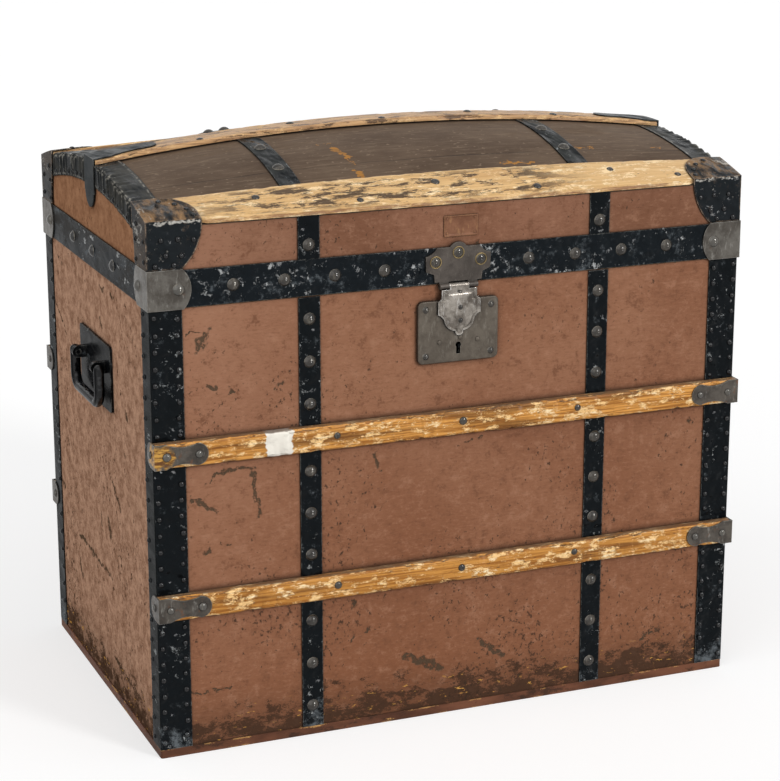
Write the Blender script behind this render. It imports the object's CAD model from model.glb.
"""Looks of a dome top travelling trunk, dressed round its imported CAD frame. Metres, front towards -Y."""

import logging
import math
from dataclasses import dataclass, field
from enum import Enum
from typing import Iterable, Sequence

import bmesh
import bpy
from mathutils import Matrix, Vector, noise


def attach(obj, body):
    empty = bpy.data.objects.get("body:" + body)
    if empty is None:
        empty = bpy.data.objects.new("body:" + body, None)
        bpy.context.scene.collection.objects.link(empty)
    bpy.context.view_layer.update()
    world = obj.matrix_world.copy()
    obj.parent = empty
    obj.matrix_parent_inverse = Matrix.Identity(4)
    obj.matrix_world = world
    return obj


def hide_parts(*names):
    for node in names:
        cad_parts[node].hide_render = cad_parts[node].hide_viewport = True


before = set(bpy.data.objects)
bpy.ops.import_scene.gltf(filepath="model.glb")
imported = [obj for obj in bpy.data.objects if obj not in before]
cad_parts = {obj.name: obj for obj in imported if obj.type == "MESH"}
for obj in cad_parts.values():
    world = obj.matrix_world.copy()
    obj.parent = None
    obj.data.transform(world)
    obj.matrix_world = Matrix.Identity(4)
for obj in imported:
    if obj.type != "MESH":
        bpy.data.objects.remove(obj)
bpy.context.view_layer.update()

WHITE = (1.0, 1.0, 1.0, 1.0)
MARK_STEEP = 2.5  # a mark's mask rises over 1 / 2.5 of its width; unclamped sums keep its shader small
EDGE_FADE = (0.985, 0.80)  # cosine between rounded and flat normal where an edge strip starts and is full
CREVICE_FADE = (0.93, 0.50)  # open share of the sky where a crevice starts and is full
HEAD_FOOT = -0.2  # height of the foot of a nail head, as a share of its rise
log = logging.getLogger("trunk")

Socket = bpy.types.NodeSocket
Feeds = dict[str | int, object]
Colour = tuple[int, int, int]
Point = tuple[float, float, float]
Spot = tuple[float, float]


class Body(Enum):
    """Bodies of the frame that pieces ride on."""

    CHEST = "chest"
    LID = "lid"
    HASP = "hasp"


class Slot(Enum):
    """Material slots of the record."""

    BROWN_CANVAS = "brown_canvas"
    DARK_CANVAS = "dark_canvas"
    PINE = "pine_board"
    BASE = "base_wood"
    OAK = "slat_oak"
    IRON = "black_iron"
    STEEL = "worn_steel"
    CAP = "cap_leather"


class Grain(Enum):
    """Stretch of a wood pattern, with its grain along one axis."""

    ALONG_X = (0.07, 1.0, 1.0)
    ALONG_Y = (1.0, 0.07, 1.0)


@dataclass(frozen=True)
class Mark:
    """Ragged scratch or scuff between two points of a surface."""

    start: Point
    end: Point
    width: float = 0.003


def tone(colour: Colour) -> tuple[float, float, float, float]:
    """Turn a screen colour, from 0 to 255, into the linear colour that a shader takes."""
    linear = [s / 12.92 if s <= 0.04045 else ((s + 0.055) / 1.055) ** 2.4 for s in (part / 255 for part in colour)]
    return linear[0], linear[1], linear[2], 1.0


class NodeSheet:
    """Node tree with short calls that add nodes and link them."""

    def __init__(self, tree: bpy.types.NodeTree) -> None:
        """Take the tree that the nodes go into."""
        self.tree = tree

    def node(self, kind: str, feeds: Feeds | None = None, **settings: object) -> bpy.types.Node:
        """Add a node.

        Args:
            kind: Blender's name for the node.
            feeds: a constant or another node's output for each input that is set.
            settings: properties to set on it.

        Returns:
            The new node.
        """
        made = self.tree.nodes.new(kind)
        for key, value in settings.items():
            setattr(made, key, value)
        for key, value in (feeds or {}).items():
            self.feed(made.inputs[key], value)
        return made

    def feed(self, socket: Socket, value: object) -> None:
        """Set an input to a constant, or link it to an output.

        Args:
            socket: the input.
            value: number, vector, linear colour or another node's output.
        """
        if isinstance(value, Socket):
            self.tree.links.new(value, socket)
        else:
            socket.default_value = value

    def out(self, output: str | int, kind: str, feeds: Feeds, **settings: object) -> Socket:
        """Add a node and give one of its outputs."""
        return self.node(kind, feeds, **settings).outputs[output]

    def math(self, operation: str, first: object, second: object, clamp: bool = False) -> Socket:
        """Result of an operation on two numbers, kept from 0 to 1 by the clamp."""
        return self.out(0, "ShaderNodeMath", {0: first, 1: second}, operation=operation, use_clamp=clamp)

    def seen_ray(self) -> Socket:
        """Tell the rays that come from the camera, a reflection or glass.

        Returns:
            1 for such a ray, and 0 for others.
        """
        path = self.node("ShaderNodeLightPath").outputs
        seen = self.math("MAXIMUM", path["Is Camera Ray"], path["Is Glossy Ray"])
        return self.math("MAXIMUM", seen, path["Is Transmission Ray"])


class ShaderSheet(NodeSheet):
    """Shader of one finish, with the patterns that the finishes share."""

    def __init__(self, name: str) -> None:
        """Start a material with a plain shader.

        Args:
            name: name of the material.
        """
        self.material = bpy.data.materials.new(name)
        self.material.use_nodes = True
        super().__init__(self.material.node_tree)
        coordinates = self.node("ShaderNodeTexCoord")
        self.place = coordinates.outputs["Object"]
        self.normal = coordinates.outputs["Normal"]
        self.colour: object = tone((0, 0, 0))

    def mapped(self, scale: Point, turn: Point = (0.0, 0.0, 0.0)) -> Socket:
        """The object's coordinates, stretched and turned about each axis."""
        return self.out("Vector", "ShaderNodeMapping", {"Vector": self.place, "Scale": scale, "Rotation": turn})

    def noise(self, vector: Socket, scale: float, detail: float = 4.0, rough: float = 0.6) -> Socket:
        """Cloudy pattern round one half: clouds in a metre, octaves and the weight of the fine ones."""
        feeds = {"Vector": vector, "Scale": scale, "Detail": detail, "Roughness": rough}
        return self.out("Fac", "ShaderNodeTexNoise", feeds)

    def span(self, value: Socket, low: float, high: float, top: float = 1.0) -> Socket:
        """Smooth step of a value, from 0 at the low one to the top at the high one."""
        feeds = {"Value": value, "From Min": low, "From Max": high, "To Max": top}
        return self.out("Result", "ShaderNodeMapRange", feeds, interpolation_type="SMOOTHSTEP")

    def calc(self, operation: str, first: object, second: object = 0.0) -> Socket:
        """Result of an operation on two numbers, kept from 0 to 1."""
        return self.math(operation, first, second, True)

    def times(self, *factors: object) -> Socket:
        """Multiply masks or numbers.

        Args:
            factors: two or more of them.

        Returns:
            The product.
        """
        product = factors[0]
        for factor in factors[1:]:
            product = self.calc("MULTIPLY", product, factor)
        return product

    def vector(self, operation: str, first: object, second: object, output: str = "Vector") -> Socket:
        """Result of an operation on two vectors, as a vector or a value."""
        return self.out(output, "ShaderNodeVectorMath", {0: first, 1: second}, operation=operation)

    def part(self, vector: Socket, axis: str) -> Socket:
        """One component of a vector, by the name of its axis."""
        return self.out(axis, "ShaderNodeSeparateXYZ", {"Vector": vector})

    def along(self, axis: str) -> Socket:
        """Place of a point along an axis."""
        return self.part(self.place, axis)

    def blend(self, factor: object, first: object, second: object) -> Socket:
        """Mix of two linear colours, by the share of the second."""
        return self.out(2, "ShaderNodeMix", {0: factor, 6: first, 7: second}, data_type="RGBA")

    def base(self, value: Socket, low: float, high: float, first: Colour, second: Colour) -> None:
        """Start the finish with two screen colours: the first at the pattern's low value, the second at its high."""
        self.colour = self.blend(self.span(value, low, high), tone(first), tone(second))

    def coat(self, colour: Colour, mask: object, share: float = 1.0) -> None:
        """Lay a screen colour over the finish where the mask is, with a share of its strength."""
        self.colour = self.blend(mask if share == 1.0 else self.times(mask, share), self.colour, tone(colour))

    def facing(self, axis: str, low: float, high: float) -> Socket:
        """Mask of the faces that look along an axis, from a low to a high share of the normal."""
        return self.span(self.calc("ABSOLUTE", self.part(self.normal, axis)), low, high)

    def edge(self, radius: float) -> Socket:
        """Mask of the strip along a piece's edges.

        Args:
            radius: width of the strip.

        Returns:
            The mask.
        """
        bevel = self.out("Normal", "ShaderNodeBevel", {"Radius": radius}, samples=6)
        flat = self.node("ShaderNodeNewGeometry").outputs["Normal"]
        return self.span(self.vector("DOT_PRODUCT", bevel, flat, "Value"), *EDGE_FADE)

    def crevice(self, reach: float) -> Socket:
        """Mask of the places that other surfaces close in on, up to a reach from them."""
        return self.span(self.out("AO", "ShaderNodeAmbientOcclusion", {"Distance": reach}, samples=6), *CREVICE_FADE)

    def near(self, axis: str, middle: float, reach: float, soft: float = 0.45,
             place: Socket | None = None) -> Socket:
        """Mask of a band across an axis, up to a reach from its middle, the outer share of which is soft."""
        off = self.math("SUBTRACT", self.part(place or self.place, axis), middle)
        return self.span(self.calc("ABSOLUTE", off), reach, reach * (1 - soft))

    def ragged(self, scale: float, reach: float) -> Socket:
        """Object coordinates shaken by a cloud.

        Args:
            scale: clouds in a metre.
            reach: how far a point strays.

        Returns:
            The shaken coordinates.
        """
        feeds = {"Vector": self.place, "Scale": scale, "Detail": 5.0}
        cloud = self.out("Color", "ShaderNodeTexNoise", feeds)
        centred = self.vector("SUBTRACT", cloud, (0.5, 0.5, 0.5))
        return self.vector("ADD", self.place, self.vector("MULTIPLY", centred, (reach, reach, reach)))

    def strokes(self, marks: Sequence[Mark], scale: float = 90.0, reach: float = 0.02) -> Socket:
        """Mask of ragged marks.

        Args:
            marks: the marks, at least one.
            scale: clouds in a metre that fray them.
            reach: how far the fray strays.

        Returns:
            The mask.
        """
        frayed = self.ragged(scale, reach)
        whole: object = 0.0
        for mark in marks:
            run = Vector(mark.end) - Vector(mark.start)
            from_start = self.vector("SUBTRACT", frayed, mark.start)
            share = self.vector("DOT_PRODUCT", from_start, tuple(run / run.length_squared), "Value")
            share = self.math("MINIMUM", self.math("MAXIMUM", share, 0.0), 1.0)
            along = self.out("Vector", "ShaderNodeVectorMath", {0: tuple(run), "Scale": share}, operation="SCALE")
            off = self.vector("SUBTRACT", from_start, along)
            distance = self.out("Value", "ShaderNodeVectorMath", {0: off}, operation="LENGTH")
            depth = self.math("MULTIPLY", distance, -MARK_STEEP / mark.width)
            whole = self.math("MAXIMUM", self.math("ADD", depth, MARK_STEEP), whole)
        return self.span(whole, 0.0, 1.0)

    def carved(self, pattern: Socket, share: float, level: float, cut: Socket, cut_share: float) -> Socket:
        """Height, from 0 to 1, of a share of a pattern above a level, less a share of what is cut out of it."""
        raised = self.calc("ADD", self.times(pattern, share), level)
        return self.calc("SUBTRACT", raised, self.times(cut, cut_share))

    def relief(self, height: Socket, strength: float, distance: float, soft_edge: float = 0.0) -> None:
        """Bump the surface.

        Args:
            height: height from 0 to 1.
            strength: share of the effect.
            distance: height of 1 in metres.
            soft_edge: radius that edges are rounded to, or 0.
        """
        feeds: Feeds = {"Strength": strength, "Distance": distance, "Height": height}
        if soft_edge:
            feeds["Normal"] = self.out("Normal", "ShaderNodeBevel", {"Radius": soft_edge}, samples=4)
        self.feed(self.shader("Normal"), self.out("Normal", "ShaderNodeBump", feeds))

    def shader(self, name: str) -> Socket:
        """An input of the material's shader."""
        return self.tree.nodes["Principled BSDF"].inputs[name]

    def done(self, rough: object, metal: float = 0.0, shine: object = 0.5) -> bpy.types.Material:
        """Wire the shader's main inputs.

        Args:
            rough: roughness or output.
            metal: share of metal.
            shine: strength of the reflection of a surface that is not metal, or output.

        Returns:
            The finished material.
        """
        for name, value in (("Base Color", self.colour), ("Roughness", rough), ("Metallic", metal),
                            ("Specular IOR Level", shine)):
            self.feed(self.shader(name), value)
        return self.material


@dataclass(frozen=True)
class Finish:
    """A finish with the record's slot that it belongs to."""

    name: str
    slot: Slot

    def make(self) -> bpy.types.Material:
        """Build the material; each finish has its own."""
        raise NotImplementedError


@dataclass(frozen=True)
class PaintedCanvas(Finish):
    """Brown oil paint on canvas, scuffed, with grime along the foot."""

    paint: Colour = (146, 102, 77)
    deep: Colour = (134, 90, 66)
    faded: Colour = (164, 120, 95)
    shade: Colour = (108, 70, 50)
    low_paint: Colour = (122, 75, 49)
    end_paint: Colour = (202, 161, 134)
    end_shade: Colour = (132, 97, 76)
    fleck: Colour = (66, 47, 35)
    scuff: Colour = (72, 60, 46)
    grime: Colour = (53, 37, 26)
    straw: Colour = (196, 146, 74)
    foot_z: float = 0.010
    grime_rise: float = 0.070
    marks: tuple[Mark, ...] = ()
    crevice: Colour = (52, 37, 28)

    def make(self) -> bpy.types.Material:
        """Build the material.

        Returns:
            The material.
        """
        sheet = ShaderSheet(self.name)
        thread = self.paintwork(sheet)
        ends = sheet.facing("X", 0.4, 0.7)
        self.end_wall(sheet, ends)
        splinter = sheet.noise(sheet.mapped((1.0, 1.0, 0.75), (0.0, 0.5, 0.0)), 190.0, 7.0, 0.74)
        crowd = sheet.span(sheet.noise(sheet.place, 9.0, 5.0), 0.40, 0.62, 0.085)
        crowd = sheet.calc("ADD", crowd, sheet.span(sheet.along("Z"), 0.40, 0.05, 0.035))
        sheet.coat(self.fleck, sheet.span(sheet.calc("ADD", splinter, crowd), 0.664, 0.684), 0.9)
        chips = sheet.span(sheet.noise(sheet.mapped((1.0, 1.0, 0.7)), 24.0, 9.0, 0.68), 0.685, 0.700)
        if self.marks:
            chips = sheet.calc("MAXIMUM", chips, sheet.strokes(self.marks))
        chips = sheet.times(chips, sheet.span(splinter, 0.40, 0.50))
        sheet.coat(self.scuff, chips, 0.9)
        if self.foot_z:
            self.foul_foot(sheet)
        sheet.coat(self.crevice, sheet.crevice(0.009), 0.85)
        sheet.relief(sheet.carved(thread, 0.5, 0.5, chips, 0.5), 0.8, 0.0014)
        rough = sheet.calc("MAXIMUM", sheet.span(thread, 0.2, 0.8, 0.80), 0.42)
        dull = sheet.calc("SUBTRACT", 1.0, ends)
        return sheet.done(rough, shine=sheet.times(dull, 0.09))

    def paintwork(self, sheet: ShaderSheet) -> Socket:
        """Lay mottled paint over the threads of the cloth.

        Args:
            sheet: the material's sheet.

        Returns:
            The pattern of the threads.
        """
        sheet.base(sheet.noise(sheet.place, 5.0, 6.0), 0.36, 0.62, self.deep, self.paint)
        sheet.coat(self.faded, sheet.span(sheet.along("X"), -0.12, -0.30, 0.45))
        sheet.coat(self.low_paint, sheet.span(sheet.along("Z"), 0.46, 0.02, 0.6))
        fine = sheet.noise(sheet.place, 60.0, 8.0, 0.80)
        sheet.coat(self.faded, sheet.span(fine, 0.51, 0.66, 0.5))
        sheet.coat(self.shade, sheet.span(fine, 0.47, 0.34, 0.8))
        thread = sheet.noise(sheet.mapped((0.34, 0.34, 1.0)), 330.0, 5.0, 0.68)
        sheet.coat(self.faded, sheet.span(thread, 0.52, 0.70, 0.36))
        sheet.coat(self.shade, sheet.span(thread, 0.48, 0.32, 0.36))
        return thread

    def end_wall(self, sheet: ShaderSheet, ends: Socket) -> None:
        """Lay paler, streaked paint on the walls that look along X.

        Args:
            sheet: the material's sheet.
            ends: mask of those walls.
        """
        blotch = sheet.noise(sheet.mapped((1.0, 0.42, 0.45), (0.3, 0.0, 0.0)), 120.0, 12.0, 0.86)
        wall = sheet.blend(sheet.span(blotch, 0.37, 0.61), tone(self.end_shade), tone(self.end_paint))
        kept = sheet.calc("SUBTRACT", 0.88, sheet.span(sheet.along("X"), 0.0, 0.1, 0.43))
        sheet.colour = sheet.blend(sheet.times(ends, kept), sheet.colour, wall)
        crowd = sheet.span(sheet.noise(sheet.place, 12.0, 4.0), 0.40, 0.56)
        crack = sheet.noise(sheet.mapped((1.0, 0.5, 0.5), (0.4, 0.0, 0.0)), 130.0, 7.0, 0.74)
        sheet.coat(self.fleck, sheet.times(sheet.span(crack, 0.632, 0.652), crowd, ends))

    def foul_foot(self, sheet: ShaderSheet) -> None:
        """Lay dark smears and knocks to the bare board along the foot of the walls.

        Args:
            sheet: the material's sheet.
        """
        low = sheet.span(sheet.along("Z"), self.foot_z + self.grime_rise, self.foot_z)
        sheet.coat(self.grime, low, 0.40)
        smear = sheet.noise(sheet.mapped((0.55, 0.55, 1.0)), 40.0, 12.0, 0.84)
        foul = sheet.span(sheet.calc("ADD", sheet.times(low, 0.17), smear), 0.618, 0.640)
        sheet.coat(self.grime, sheet.times(foul, sheet.span(low, 0.0, 0.2)), 0.8)
        bare = sheet.span(sheet.noise(sheet.mapped((0.45, 0.45, 1.4)), 120.0, 6.0, 0.7), 0.622, 0.640)
        sheet.coat(self.straw, sheet.times(bare, sheet.span(low, 0.25, 0.6)))


@dataclass(frozen=True)
class DarkCanvas(Finish):
    """Dark oiled canvas over the planks of the dome, with pale rub marks and plank seams."""

    paint: Colour = (98, 81, 66)
    deep: Colour = (78, 62, 49)
    dusty: Colour = (128, 110, 92)
    gold: Colour = (166, 116, 56)
    seam_y: float = 0.133
    marks: tuple[Mark, ...] = ()
    seam: Colour = (40, 31, 26)
    crevice: Colour = (34, 27, 23)

    def make(self) -> bpy.types.Material:
        """Build the material.

        Returns:
            The material.
        """
        sheet = ShaderSheet(self.name)
        cloud = sheet.noise(sheet.mapped((0.5, 1.0, 1.0)), 9.0, 8.0, 0.66)
        sheet.base(cloud, 0.38, 0.62, self.deep, self.paint)
        thread = sheet.noise(sheet.mapped((0.12, 1.0, 1.0)), 260.0, 6.0, 0.70)
        sheet.coat(self.dusty, sheet.span(thread, 0.51, 0.70, 0.55))
        sheet.coat(self.deep, sheet.span(thread, 0.47, 0.34, 0.60))
        speck = sheet.noise(sheet.mapped((0.6, 1.0, 1.0)), 230.0, 2.0, 0.5)
        sheet.coat(self.dusty, sheet.span(speck, 0.65, 0.70), 0.7)
        wander = sheet.calc("ABSOLUTE", sheet.part(sheet.ragged(26.0, 0.005), "Y"))
        off = sheet.calc("ABSOLUTE", sheet.math("SUBTRACT", wander, self.seam_y))
        seam = sheet.times(sheet.span(off, 0.0011, 0.0003), sheet.span(cloud, 0.62, 0.46))
        sheet.coat(self.seam, seam, 0.8)
        sheet.coat(self.gold, sheet.times(sheet.strokes(self.marks, 150.0, 0.022), sheet.span(thread, 0.36, 0.50)))
        sheet.coat(self.crevice, sheet.crevice(0.007), 0.85)
        sheet.relief(sheet.calc("SUBTRACT", sheet.calc("ADD", sheet.times(thread, 0.5), 0.4), seam), 0.6, 0.0008)
        return sheet.done(sheet.calc("MAXIMUM", sheet.span(cloud, 0.2, 0.8, 0.85), 0.62), shine=0.1)


@dataclass(frozen=True)
class SlatWood(Finish):
    """Slat with varnish chipped to bare wood, and dirt in the worn places."""

    varnish: Colour = (202, 142, 68)
    deep: Colour = (150, 94, 36)
    dark: Colour = (96, 58, 26)
    bare: Colour = (246, 202, 138)
    bright: Colour = (252, 232, 192)
    dirt: Colour = (76, 54, 38)
    bare_from: float = 0.575
    dirt_from: float = 0.655
    dirt_x: tuple[float, float] = (0.0, 9.0)
    dirt_y: tuple[float, float] = (0.0, 9.0)
    top_grime: float = 0.8
    foot_tint: float = 0.0
    patch_x: tuple[float, float] | None = None
    patch: Colour = (240, 234, 222)
    top_dust: Colour = (98, 80, 66)
    foot: Colour = (118, 76, 48)
    crevice: Colour = (62, 44, 30)

    def make(self) -> bpy.types.Material:
        """Build the material.

        Returns:
            The material.
        """
        sheet = ShaderSheet(self.name)
        grain = sheet.noise(sheet.mapped((0.03, 1.0, 1.0)), 420.0, 5.0, 0.64)
        sheet.base(grain, 0.38, 0.60, self.deep, self.varnish)
        sheet.coat(self.dark, sheet.span(sheet.noise(sheet.mapped((0.12, 1.0, 1.0)), 46.0, 5.0), 0.55, 0.66, 0.6))
        flake = sheet.noise(sheet.mapped((0.40, 1.0, 1.0), (0.0, 0.35, 0.0)), 95.0, 11.0, 0.82)
        worn = sheet.calc("ADD", flake, sheet.times(sheet.edge(0.003), 0.045))
        chipped = sheet.span(worn, self.bare_from, self.bare_from + 0.022)
        bare = sheet.blend(sheet.span(grain, 0.46, 0.66), tone(self.bare), tone(self.bright))
        sheet.colour = sheet.blend(chipped, sheet.colour, bare)
        scar = sheet.noise(sheet.mapped((0.24, 1.0, 1.0)), 95.0, 11.0, 0.78)
        foul = sheet.span(scar, self.dirt_from, self.dirt_from + 0.022)
        foul = sheet.times(foul, sheet.near("X", *self.dirt_x), sheet.near("Y", *self.dirt_y))
        sheet.coat(self.dirt, foul, 0.92)
        pits = sheet.noise(sheet.mapped((0.3, 1.0, 1.0)), 300.0, 3.0, 0.6)
        sheet.coat(self.dirt, sheet.span(pits, 0.66, 0.70), 0.6)
        if self.patch_x:
            torn = sheet.near("X", *self.patch_x, 0.10, sheet.ragged(140.0, 0.016))
            front = sheet.span(sheet.along("Y"), 0.0, -0.1)
            sheet.coat(self.patch, sheet.times(torn, sheet.span(flake, 0.34, 0.37), front))
        up = sheet.span(sheet.part(sheet.normal, "Z"), 0.6, 0.95, self.top_grime)
        sheet.coat(self.top_dust, sheet.times(up, sheet.span(scar, 0.30, 0.50)))
        lower = sheet.times(sheet.facing("Y", 0.5, 0.9), self.foot_tint)
        sheet.coat(self.foot, sheet.times(lower, sheet.span(scar, 0.38, 0.56)))
        sheet.coat(self.crevice, sheet.crevice(0.004), 0.6)
        height = sheet.carved(grain, 0.4, 0.6, chipped, 0.3)
        sheet.relief(sheet.calc("SUBTRACT", height, sheet.times(foul, 0.4)), 0.65, 0.0007)
        return sheet.done(sheet.calc("ADD", sheet.times(chipped, 0.22), 0.38), shine=0.2)


@dataclass(frozen=True)
class BoardWood(Finish):
    """Plain softwood board."""

    tint: Colour = (190, 148, 98)
    dark: Colour = (150, 108, 66)
    grain: Grain = Grain.ALONG_X
    stain: Colour = (112, 82, 54)

    def make(self) -> bpy.types.Material:
        """Build the material.

        Returns:
            The material.
        """
        sheet = ShaderSheet(self.name)
        figure = sheet.noise(sheet.mapped(self.grain.value), 42.0, 6.0, 0.62)
        sheet.base(figure, 0.34, 0.66, self.dark, self.tint)
        fine = sheet.noise(sheet.mapped(self.grain.value), 420.0, 3.0, 0.6)
        sheet.coat(self.dark, sheet.span(fine, 0.5, 0.8, 0.5))
        sheet.coat(self.stain, sheet.span(sheet.noise(sheet.place, 6.0, 5.0), 0.55, 0.75, 0.4))
        sheet.relief(fine, 0.35, 0.0005)
        return sheet.done(sheet.calc("MAXIMUM", sheet.span(fine, 0.1, 0.9, 0.9), 0.6))


@dataclass(frozen=True)
class PaintedBoard(Finish):
    """Base board in the canvas paint, knocked to bare wood along its edges."""

    paint: Colour = (116, 74, 54)
    deep: Colour = (78, 48, 34)
    bare: Colour = (198, 152, 92)
    grime: Colour = (50, 34, 25)

    def make(self) -> bpy.types.Material:
        """Build the material.

        Returns:
            The material.
        """
        sheet = ShaderSheet(self.name)
        cloud = sheet.noise(sheet.mapped((0.3, 0.3, 1.0)), 30.0, 7.0)
        sheet.base(cloud, 0.36, 0.64, self.deep, self.paint)
        flake = sheet.noise(sheet.mapped((0.4, 0.4, 1.0)), 80.0, 6.0, 0.7)
        knocked = sheet.calc("ADD", flake, sheet.times(sheet.edge(0.004), 0.10))
        foul = sheet.noise(sheet.mapped((0.5, 0.5, 1.0)), 55.0, 10.0, 0.8)
        sheet.coat(self.grime, sheet.span(foul, 0.53, 0.60, 0.8))
        sheet.coat(self.bare, sheet.span(knocked, 0.640, 0.665, 0.9))
        sheet.relief(flake, 0.4, 0.0008, 0.0012)
        return sheet.done(sheet.calc("MAXIMUM", sheet.span(cloud, 0.2, 0.8, 0.85), 0.6), shine=0.15)


@dataclass(frozen=True)
class PaintedIron(Finish):
    """Black japanned sheet iron with scuffs, dust on its ends and top, and wear along its edges."""

    paint: Colour = (14, 18, 21)
    dusty: Colour = (50, 52, 51)
    scuff: Colour = (106, 112, 116)
    chip: Colour = (158, 162, 162)
    bare: Colour = (124, 124, 119)
    dust_share: float = 0.9
    dust_from: float = 0.43
    end_dust: float = 1.0
    scuff_from: float = 0.565
    chip_from: float = 0.672
    edge_width: float = 0.0018
    gloss: float = 0.15
    shine: float = 0.06
    dents: float = 1.0
    ridge_tone: Colour = (0, 0, 0)
    ridge_share: float = 0.0
    marks: tuple[Mark, ...] = ()
    fold: Colour = (20, 20, 20)
    crevice: Colour = (10, 10, 10)

    def make(self) -> bpy.types.Material:
        """Build the material.

        Returns:
            The material.
        """
        sheet = ShaderSheet(self.name)
        ends = sheet.facing("X", 0.5, 0.8)
        dust = sheet.calc("MAXIMUM", sheet.times(ends, self.end_dust), sheet.facing("Z", 0.55, 0.85))
        even = sheet.mapped((1.0, 0.42, 1.0))
        coat = sheet.noise(even, 30.0, 9.0, 0.72)
        dust = sheet.times(dust, sheet.span(coat, self.dust_from, self.dust_from + 0.2, self.dust_share))
        sheet.colour = tone(self.paint)
        sheet.coat(self.dusty, dust)
        smudge = sheet.noise(even, 42.0, 12.0, 0.84)
        low = sheet.span(sheet.along("Z"), 0.055, 0.015, 0.10)
        cloudy = sheet.span(sheet.calc("ADD", smudge, low), self.scuff_from, self.scuff_from + 0.12, 0.8)
        sheet.coat(self.scuff, cloudy)
        crowd = sheet.span(sheet.noise(sheet.place, 13.0, 5.0), 0.42, 0.62, 0.10)
        splinter = sheet.noise(even, 120.0, 8.0, 0.76)
        chips = sheet.span(sheet.calc("ADD", splinter, crowd), self.chip_from, self.chip_from + 0.025)
        sheet.coat(self.chip, chips, 0.7)
        break_up = sheet.noise(sheet.place, 140.0, 7.0, 0.74)
        sheet.coat(self.bare, sheet.times(sheet.edge(self.edge_width), sheet.span(break_up, 0.42, 0.60)), 0.85)
        if self.marks:
            worn = sheet.span(splinter, 0.44, 0.54)
            sheet.coat(self.chip, sheet.times(sheet.strokes(self.marks, 140.0, 0.010), worn))
        if self.ridge_share:
            self.ridged(sheet)
        sheet.coat(self.crevice, sheet.crevice(0.004), 0.8)
        flat = sheet.calc("SUBTRACT", 1.0, sheet.times(ends, 0.85))
        dent = sheet.times(sheet.noise(even, 52.0, 2.0, 0.4), flat)
        sheet.relief(sheet.carved(dent, 0.8, 0.15, chips, 0.10), self.dents, 0.0140, 0.0008)
        matt = sheet.times(sheet.calc("MAXIMUM", dust, cloudy), 0.42)
        return sheet.done(sheet.calc("ADD", matt, self.gloss), shine=sheet.times(flat, self.shine))

    def ridged(self, sheet: ShaderSheet) -> None:
        """Lay the rubbed ridges and dark folds of a crumpled sheet.

        Args:
            sheet: the material's sheet.
        """
        sharp = sheet.node("ShaderNodeNewGeometry").outputs["Pointiness"]
        sheet.coat(self.fold, sheet.span(sharp, 0.498, 0.480, 0.9))
        broken = sheet.span(sheet.noise(sheet.place, 120.0, 7.0, 0.74), 0.46, 0.58)
        ridge = sheet.span(sharp, 0.503, 0.526, self.ridge_share)
        sheet.coat(self.ridge_tone, sheet.times(ridge, sheet.span(sharp, 0.560, 0.535), broken))


@dataclass(frozen=True)
class WornSteel(Finish):
    """Bare steel gone grey-brown, brighter where hands and knocks rub it."""

    tint: Colour = (102, 98, 91)
    dark: Colour = (70, 64, 57)
    bright: Colour = (150, 147, 140)
    rust: Colour = (104, 68, 46)
    rust_from: float = 0.62
    metal: float = 0.35
    gloss: float = 0.30
    gloss_range: float = 0.22
    relief: float = 0.5
    soft_edge: float = 0.0008
    foot_shade: float = 0.6
    foot_reach: float = 0.005
    corner_tone: Colour = (0, 0, 0)
    corner_share: float = 0.0
    shine: float = 0.3
    marks: tuple[Mark, ...] = ()
    mark_colour: Colour = (196, 148, 70)
    mark_grain: Colour = (96, 60, 28)
    outer: Colour = (30, 30, 30)
    crevice: Colour = (20, 18, 16)
    outer_x: float = 0.3585
    corner_x: float = 0.305
    corner_y: float = 0.170

    def make(self) -> bpy.types.Material:
        """Build the material.

        Returns:
            The material.
        """
        sheet = ShaderSheet(self.name)
        cloud = sheet.noise(sheet.place, 46.0, 9.0, 0.70)
        sheet.base(cloud, 0.36, 0.64, self.dark, self.tint)
        if self.corner_share:
            sheet.coat(self.outer, self.beyond(sheet, "X", self.outer_x), 0.85)
            corner = sheet.times(self.beyond(sheet, "X", self.corner_x), self.beyond(sheet, "Y", self.corner_y))
            sheet.coat(self.corner_tone, corner, self.corner_share)
        bloom = sheet.noise(sheet.place, 85.0, 8.0, 0.74)
        sheet.coat(self.rust, sheet.span(bloom, self.rust_from, self.rust_from + 0.10, 0.7))
        brush = sheet.noise(sheet.mapped((1.0, 1.0, 0.3), (0.0, 0.5, 0.0)), 240.0, 5.0, 0.7)
        sheet.coat(self.bright, sheet.span(brush, 0.54, 0.72, 0.5))
        sheet.coat(self.bright, sheet.times(sheet.edge(0.0014), sheet.span(bloom, 0.36, 0.56)), 0.8)
        if self.marks:
            splinter = sheet.noise(sheet.mapped((0.2, 1.0, 1.0)), 210.0, 6.0, 0.7)
            wood = sheet.blend(sheet.span(splinter, 0.42, 0.56), tone(self.mark_grain), tone(self.mark_colour))
            sheet.colour = sheet.blend(sheet.strokes(self.marks, 120.0, 0.022), sheet.colour, wood)
        sheet.coat(self.crevice, sheet.crevice(self.foot_reach), self.foot_shade)
        sheet.relief(cloud, self.relief, 0.0018, self.soft_edge)
        rough = sheet.calc("ADD", sheet.span(bloom, 0.3, 0.7, self.gloss_range), self.gloss)
        return sheet.done(rough, self.metal, self.shine)

    def beyond(self, sheet: ShaderSheet, axis: str, start: float) -> Socket:
        """Mask of what lies farther from the middle than a start, along an axis."""
        return sheet.span(sheet.calc("ABSOLUTE", sheet.along(axis)), start, start + 0.003)


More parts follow.
